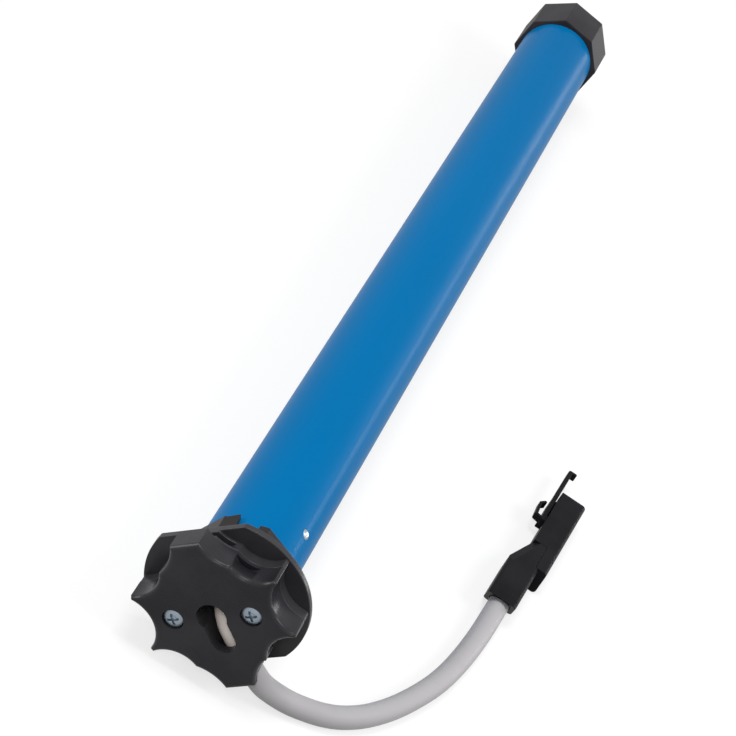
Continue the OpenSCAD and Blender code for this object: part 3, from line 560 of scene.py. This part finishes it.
def roundRim(node, radius, steps, minRadius, merge, flatness):
    bm = cleanMesh(node)
    front = {f for f in bm.faces if f.normal.x < -0.999 and all(abs(v.co.x) < flatness for v in f.verts)}
    border = [e for e in bm.edges if sum(f in front for f in e.link_faces) == 1]
    within = [e for e in bm.edges if sum(f in front for f in e.link_faces) == 2]
    outer = [e for e in border if axisRadius(e) >= minRadius]
    holes = [e for e in border if axisRadius(e) < minRadius]
    loop = walkLoop(outer)
    ring = [Vector((v.co.y, v.co.z)) for v in loop]
    area = sum(a.x * b.y - a.y * b.x for a, b in zip(ring, ring[1:] + ring[:1]))
    if area < 0:
        loop.reverse()
        ring.reverse()
    sides = [(b - a).normalized() for a, b in zip(ring, ring[1:] + ring[:1])]
    inward = [Vector((-t.y, t.x)) for t in sides]
    bmesh.ops.delete(bm, geom=list(front), context="FACES_ONLY")
    bmesh.ops.delete(bm, geom=within, context="EDGES_FACES")
    for v in loop:
        v.co.x = radius
    before = loop
    for k in range(1, steps + 1):
        angle = math.pi / 2 * k / steps
        made = {}
        row = []
        for q in insetRing(ring, inward, radius * (1 - math.cos(angle)), merge):
            key = (round(q.x, 8), round(q.y, 8))
            if key not in made:
                made[key] = bm.verts.new((radius * (1 - math.sin(angle)), q.x, q.y))
            row.append(made[key])
        for i in range(len(row)):
            corners = list(dict.fromkeys([before[i - 1], before[i], row[i], row[i - 1]]))
            if len(corners) > 2:
                bm.faces.new(corners)
        before = row
    pairs = [(before[i - 1], before[i]) for i in range(len(before)) if before[i - 1] is not before[i]]
    fillFront(bm, pairs + [tuple(e.verts) for e in holes])
    bmesh.ops.recalc_face_normals(bm, faces=bm.faces)
    obj = dressNode(node, bm)
    for poly in obj.data.polygons:
        poly.use_smooth = poly.normal.x > -0.9999  # the front itself stays flat


roundRim(**rim)
print("stage: bevelled pieces")

# floor: lit is its tone to the lamps, seen its tone to the camera, and shadow the share of its
# shading that shows near the object
floor = {"z": startBounds[0][2], "half": 12, "lit": 0.4, "seen": 0.92, "shadow": 0.3, "fade": (0.8, 1.4)}
half = floor["half"]
floorCorners = [(x, y, floor["z"]) for x, y in ((-half, -half), (half, -half), (half, half), (-half, half))]
floorMesh = bpy.data.meshes.new("studio_floor")
floorMesh.from_pydata(floorCorners, [], [(0, 1, 2, 3)])
floorObj = bpy.data.objects.new("studio_floor", floorMesh)
scene.collection.objects.link(floorObj)
floorMat = Material("studio_floor").set(Roughness=0.95, Specular_IOR_Level=0.1)
floorMesh.materials.append(floorMat.mat)


def seenBy(tree, *kinds):
    path = tree.nodes.new("ShaderNodeLightPath")
    seen = Sock(tree, path.outputs[kinds[0]])
    for kind in kinds[1:]:
        seen = seen.math("MAXIMUM", Sock(tree, path.outputs[kind]))
    return seen


whiteRays = ("Is Camera Ray", "Is Glossy Ray", "Is Transmission Ray")
byCamera = seenBy(floorMat.tree, "Is Camera Ray")
floorMat.set(Base_Color=byCamera.mix(grey(floor["lit"]), grey(floor["seen"])))
shown = seenBy(floorMat.tree, *whiteRays)
white = shown.node("ShaderNodeEmission", Color=grey(1), Strength=1.0)
away = shown.node("ShaderNodeVectorMath", {"operation": "LENGTH"}, "Value", i0=floorMat.place)
whiteShare = shown * (1 - (1 - away.ramp(*floor["fade"])) * floor["shadow"])
shaded = Sock(floorMat.tree, floorMat.shader.outputs[0])
blend = shown.node("ShaderNodeMixShader", i0=whiteShare, i1=shaded, i2=white)
outNode = next(n for n in floorMat.tree.nodes if n.type == "OUTPUT_MATERIAL")
floorMat.tree.links.new(blend.out, outNode.inputs["Surface"])

lights = {
    "key_top": {"at": (0.05, 0.3, 1.9), "to": (0.1, 0, 0), "size": (0.7, 0.7), "power": 17},
    "left_panel": {"at": (-0.15, 1.5, 0.45), "to": (0, 0, 0), "size": (1.0, 0.3), "power": 10},
    "side_panel": {"at": (0.7, -1.4, 0.15), "to": (0.25, 0, 0), "size": (1.6, 0.1), "power": 4},
    "far_panel": {"at": (1.5, -0.95, 0.04), "to": (0.25, 0, 0), "size": (0.9, 0.13), "power": 3.4},
    "right_fill": {"at": (0.0, -1.1, 1.15), "to": (0, 0, 0), "size": (0.6, 0.6), "power": 9},
    "view_fill": {"at": (-1.0, 0.1, 1.05), "to": (0, 0, 0), "size": (0.3, 0.3), "power": 4.5},
}
for name, spec in lights.items():
    data = bpy.data.lights.new(name, "AREA")
    data.shape = "RECTANGLE"
    data.size, data.size_y = spec["size"]
    data.energy = spec["power"]
    obj = bpy.data.objects.new(name, data)
    scene.collection.objects.link(obj)
    aim = Vector(spec["to"]) - Vector(spec["at"])
    obj.matrix_world = Matrix.Translation(spec["at"]) @ aim.to_track_quat("-Z", "Y").to_matrix().to_4x4()

# world: white where it is seen, and weaker as a light
worldLight = 0.4
world = bpy.data.worlds.new("studio_world")
scene.world = world
world.use_nodes = True
backNode = next(n for n in world.node_tree.nodes if n.type == "BACKGROUND")
backNode.inputs["Color"].default_value = grey(1)
strength = seenBy(world.node_tree, *whiteRays) * (1 - worldLight) + worldLight
world.node_tree.links.new(strength.out, backNode.inputs["Strength"])
scene.view_settings.view_transform = "Standard"
print("stage: studio")
